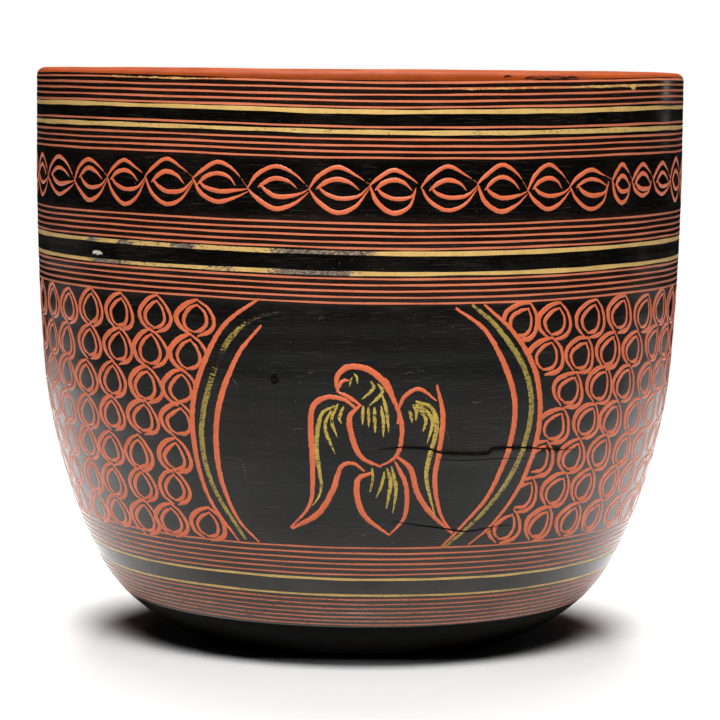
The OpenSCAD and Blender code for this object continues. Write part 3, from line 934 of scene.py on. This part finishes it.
# Strokes of a scale: full width, its share at the head and tail, how far along it is reached and
# held, and the points, as shares of the scale's half width and of its height.
SCALE_STROKES = [
    (1.08, (0.3, 0.2), (0.3, 0.45),
     [(0.1, 0.52), (-0.5, 0.36), (-0.97, 0.03), (-0.76, -0.3), (-0.1, -0.52)]),
    (0.95, (0.3, 0.35), (0.7, 0.2),
     [(0.02, 0.53), (0.6, 0.3), (0.95, -0.05), (0.78, -0.33), (0.12, -0.51)]),
    (0.85, (0.3, 0.2), (0.3, 0.45),
     [(0.12, 0.38), (-0.3, 0.22), (-0.6, -0.05), (-0.42, -0.29), (0.0, -0.39)]),
    (0.85, (0.3, 0.3), (0.7, 0.2),
     [(0.06, 0.38), (0.42, 0.18), (0.58, -0.1), (0.4, -0.31), (-0.1, -0.4)]),
]


def panel_edge(name, panel):
    """Depths down one outline of a panel and its angles there, for telling which side a place is."""
    places = panel_places(RED_ARCS[name], panel)
    return places[:, 1], places[:, 0]


def scale_field(number, field):
    """One field of double scales, in rows, between the right of one panel and the left of the next."""
    first, pitch, lean, least_tilt, most_tilt = field
    strokes = Strokes(f"scales {number}", rough=0.065)
    draw = strokes.random
    before = panel_edge("outer_right", number)
    after = panel_edge("outer_left", number + 1)

    def keep(theta, depth):
        left = np.interp(depth, *before)
        right = np.interp(depth, *after)
        return (theta > left + OUTLINE_GAP) & (theta < right - OUTLINE_GAP)

    turn = 360 if number == PANELS - 1 else 0
    for row in range(SCALE_ROWS):
        depth = FIRST_ROW + ROW_PITCH * row
        round_here = math.radians(pitch) * radius_at(depth)
        for column in range(-14, 15):
            degrees = first + turn + lean * row + pitch * column + draw.uniform(-0.5, 0.5)
            drop = draw.uniform(-0.35, 0.35)
            half = round_here / 2 * draw.uniform(0.86, 0.98)
            height = SCALE_HEIGHT * draw.uniform(0.96, 1.06)
            tilt = math.radians(draw.uniform(least_tilt, most_tilt))
            theta = math.radians(degrees)
            edge_left, edge_right = (np.interp(depth, *edge) for edge in (before, after))
            margin = 0.25 * half / BOWL_RADIUS
            if not edge_left + margin < theta < edge_right - margin:
                continue
            for width, (head, tail), (rise, fall), points in SCALE_STROKES:
                shaken = [(half * x + draw.uniform(-0.15, 0.15), height * y + draw.uniform(-0.12, 0.12))
                          for x, y in points]
                path = smooth_path(shaken)
                u = path[:, 0] * math.cos(tilt) + path[:, 1] * math.sin(tilt)
                v = path[:, 1] * math.cos(tilt) - path[:, 0] * math.sin(tilt)
                places = np.stack([theta + u / radius_at(depth), depth + drop - v], -1)
                strokes.add(places, width * draw.uniform(1.05, 1.3), head, tail, rise, fall, keep=keep)
    strokes.piece(f"scales_{number + 1}", RED_PIGMENT, "vermilion", [f"scale_field_{number + 1}"])


for number, field in enumerate(FIELDS):
    scale_field(number, field)

# --- Cracks, chips and scratches ---


def arc_places(start, end, depth, wave, seed):
    """Places along a level stretch of the wall, between two angles in degrees, wavering a little."""
    draw = random.Random(f"arc{seed}")
    count = max(5, int(abs(end - start) / 1.2))
    points = [(BOWL_RADIUS * math.radians(start + (end - start) * i / (count - 1)),
               depth + draw.uniform(-wave, wave)) for i in range(count)]
    path = smooth_path(points)
    theta = path[:, 0] / BOWL_RADIUS
    return np.stack([theta, path[:, 1] - line_sway(theta, depth)], -1)


CRACK_WIDTHS = (0.5, 0.34)
SCRATCH_WIDTH = 0.11
# A faint crack below the first, the pit and the fine scratches of the front panel, as X and height
# in the plane of its front.
FAINT_CRACK = [(16.2, 46.6), (22, 46.2), (28, 46.3), (34.3, 45.9)]
PIT = [(-16.7, 63.3), (-16.3, 62.6), (-16.2, 61.4)]
SCRATCHES = [
    [(-22.9, 46), (-22.4, 43.6), (-21.8, 41.2)], [(-24.7, 62.2), (-24.2, 61.6), (-23.8, 60.8)],
    [(16.9, 53.6), (17.9, 52.2), (18.4, 50.2)], [(-12.6, 52.4), (-11.4, 52.7), (-10.5, 52.6)],
    [(-9.6, 63.7), (-9.1, 64.1), (-8.5, 64)], [(9.4, 63.9), (10.2, 64.3), (11.2, 64.1)],
    [(22.6, 58.2), (23.8, 57.9), (25, 58.1)], [(-7.6, 74.6), (-7.1, 75.1), (-6.7, 75.2)],
]


def damage():
    cracks = Strokes("cracks", ridge=0.075, rough=0.07)
    for points, width in zip(CRACKS, CRACK_WIDTHS):
        cracks.add(on_wall(smooth_path(points)), width, head=0.2, tail=0.1, rise=0.3)
    cracks.add(on_wall(smooth_path(FAINT_CRACK)), 0.16, head=0.2, tail=0.1)
    cracks.piece("cracks", CRACK_BLACK, "black_lacquer")

    chips = Strokes("lip chips", ridge=0.05, rough=0.15)
    chips.add(arc_places(27.5, 38.5, 1.6, 0.15, 1), 0.7, head=0.2, tail=0.3)
    chips.add(arc_places(23.8, 25.4, 1.2, 0.05, 2), 0.45, head=0.3, tail=0.3)
    chips.add(arc_places(-44, -24, 1.95, 0.12, 3), 0.3, head=0.1, tail=0.1)
    chips.add(on_wall(smooth_path(PIT, 0.15)), 1.9, head=0.5)
    chips.piece("chips", CRACK_BLACK, "black_lacquer")

    scratches = Strokes("scratches", ridge=0.012, rough=0.03)
    for points in SCRATCHES:
        scratches.add(on_wall(smooth_path(points)), SCRATCH_WIDTH, head=0.3, tail=0.2)
    scratches.piece("scratches", SCRATCH_GREY, "black_lacquer")

    fleck = Strokes("fleck", ridge=0.04, rough=0.15)
    fleck.add(arc_places(-51.2, -48.4, 38.1, 0.2, 4), 0.9, head=0.4, tail=0.2)
    fleck.piece("chipped_fleck", PALE_PUTTY, "putty")

    smears = Strokes("smears", ridge=0.035, rough=0.12)
    smears.add(arc_places(-48, -22, 2.2, 0.1, 5), 0.42, wear=0.4)
    smears.add(arc_places(-36, -27, 2.2, 0.14, 6), 0.5, wear=0.25)
    smears.add(arc_places(36, 68, 3.45, 0.06, 7), 0.5, wear=0.25)
    smears.add(arc_places(14, 33, 3.45, 0.06, 8), 0.4, wear=0.45)
    smears.add(arc_places(51.9, 53.4, 3.75, 0.1, 9), 1.2, head=0.5, tail=0.4)
    smears.piece("yellow_smears", SMEARED_YELLOW, "yellow")


damage()

# --- Finishes of the CAD nodes that stay, sealed inside the coats ---


def finish_cad_nodes():
    for name, thing in frame["nodes"].items():
        if name == "base_coil" or name.startswith("wall_hoop_"):
            finish = BAMBOO
        elif name in ("outer_ground", "inner_ground"):
            finish = PUTTY
        else:
            continue
        thing.data.materials.clear()
        thing.data.materials.append(finish)


finish_cad_nodes()

# --- Floor, light and camera ---

# The floor disc fades out between two radii.
FLOOR_FADE = 190
FLOOR_RADIUS = 300
FLOOR_BACK = 155
# Each light's name, place, target, width and height, and power.
LIGHTS = (
    ("key_left", (-80, -610, 760), (0, 0, 60), (320, 320), 5.6),
    ("key_right", (80, -610, 760), (0, 0, 60), (320, 320), 5.6),
    ("overhead", (0, 230, 640), (0, 230, 0), (420, 420), 9),
    ("strip_right", (480, 420, 190), (0, 0, 110), (30, 160), 0.03),
)
# How the room's brightness falls from its pale floor to its dark walls, in front of the bowl and
# behind it, and how one gives way to the other: from, to, and the values there.
FRONT_FLOOR = (-0.28, -0.15, 0.65, 0.005)
BACK_FLOOR = (-0.22, -0.11, 2.2, 0.005)
FRONT_TO_BACK = (0.3, 0.85, 0, 1)
CAMERA_DISTANCE = 658
CAMERA_LIFT = 3.95
CAMERA_PITCH = 5.86
CAMERA_ROLL = 0.6
CAMERA_LENS = 150.4
CAMERA_SHIFT = 0.0039


def floor():
    turns = [2 * math.pi * i / 128 for i in range(128)]
    rim = [(FLOOR_RADIUS * math.cos(a) * MM, FLOOR_RADIUS * math.sin(a) * MM, 0) for a in turns]
    mesh = bpy.data.meshes.new("floor")
    mesh.from_pydata(rim, [], [tuple(range(len(rim)))])
    s = Shader("floor_white")
    s.set(Base_Color=s.mix(s.noise(90), (0.86, 0.86, 0.85), (0.83, 0.83, 0.825)), Roughness=0.7)
    reach = s.tree.nodes.new("ShaderNodeVectorMath")
    reach.operation = "LENGTH"
    s.link(s.place, reach.inputs[0])
    s.set(Alpha=s.span(reach.outputs["Value"], FLOOR_FADE * MM, FLOOR_RADIUS * MM, 1, 0))
    mesh.materials.append(s.material)
    disc = bpy.data.objects.new("floor", mesh)
    disc.location.y = FLOOR_BACK * MM
    bpy.context.scene.collection.objects.link(disc)


def softbox(name, place, target, size, power):
    """An area light at a place, facing a target, all in millimetres."""
    light = bpy.data.lights.new(name, "AREA")
    light.shape = "RECTANGLE"
    light.size, light.size_y = size[0] * MM, size[1] * MM
    light.energy = power
    lamp = bpy.data.objects.new(name, light)
    lamp.location = Vector(place) * MM
    lamp.rotation_euler = (Vector(target) - Vector(place)).to_track_quat("-Z", "Y").to_euler()
    bpy.context.scene.collection.objects.link(lamp)


def world():
    """White to the camera. To everything else, a dark room whose pale floor goes on past the disc."""
    room = bpy.data.worlds.new("room")
    room.use_nodes = True
    tree = room.node_tree
    tree.nodes.clear()
    seen, felt = tree.nodes.new("ShaderNodeBackground"), tree.nodes.new("ShaderNodeBackground")
    seen.inputs["Color"].default_value = (1, 1, 1, 1)
    place = tree.nodes.new("ShaderNodeTexCoord")
    axes = tree.nodes.new("ShaderNodeSeparateXYZ")
    tree.links.new(place.outputs["Generated"], axes.inputs[0])

    def ramp(axis, numbers):
        node = tree.nodes.new("ShaderNodeMapRange")
        for name, number in zip(RANGE_SOCKETS, numbers):
            node.inputs[name].default_value = number
        tree.links.new(axes.outputs[axis], node.inputs["Value"])
        return node.outputs["Result"]

    blend = tree.nodes.new("ShaderNodeMix")
    tree.links.new(ramp("Y", FRONT_TO_BACK), blend.inputs["Factor"])
    tree.links.new(ramp("Z", FRONT_FLOOR), blend.inputs["A"])
    tree.links.new(ramp("Z", BACK_FLOOR), blend.inputs["B"])
    tree.links.new(blend.outputs["Result"], felt.inputs["Color"])
    mix = tree.nodes.new("ShaderNodeMixShader")
    path = tree.nodes.new("ShaderNodeLightPath")
    out = tree.nodes.new("ShaderNodeOutputWorld")
    tree.links.new(path.outputs["Is Camera Ray"], mix.inputs[0])
    tree.links.new(felt.outputs[0], mix.inputs[1])
    tree.links.new(seen.outputs[0], mix.inputs[2])
    tree.links.new(mix.outputs[0], out.inputs["Surface"])
    bpy.context.scene.world = room


def camera():
    data = bpy.data.cameras.new("camera")
    data.lens = CAMERA_LENS
    data.shift_x = CAMERA_SHIFT
    data.clip_start, data.clip_end = 0.01, 20
    thing = bpy.data.objects.new("camera", data)
    turn = Matrix.Rotation(math.radians(90 - CAMERA_PITCH), 4, "X")
    roll = Matrix.Rotation(math.radians(CAMERA_ROLL), 4, "Z")
    place = Matrix.Translation(Vector((0, -CAMERA_DISTANCE, BOWL_HEIGHT + CAMERA_LIFT)) * MM)
    thing.matrix_world = place @ turn @ roll
    bpy.context.scene.collection.objects.link(thing)
    bpy.context.scene.camera = thing


floor()
for light in LIGHTS:
    softbox(*light)
world()
camera()
bpy.context.scene.view_settings.view_transform = "Standard"
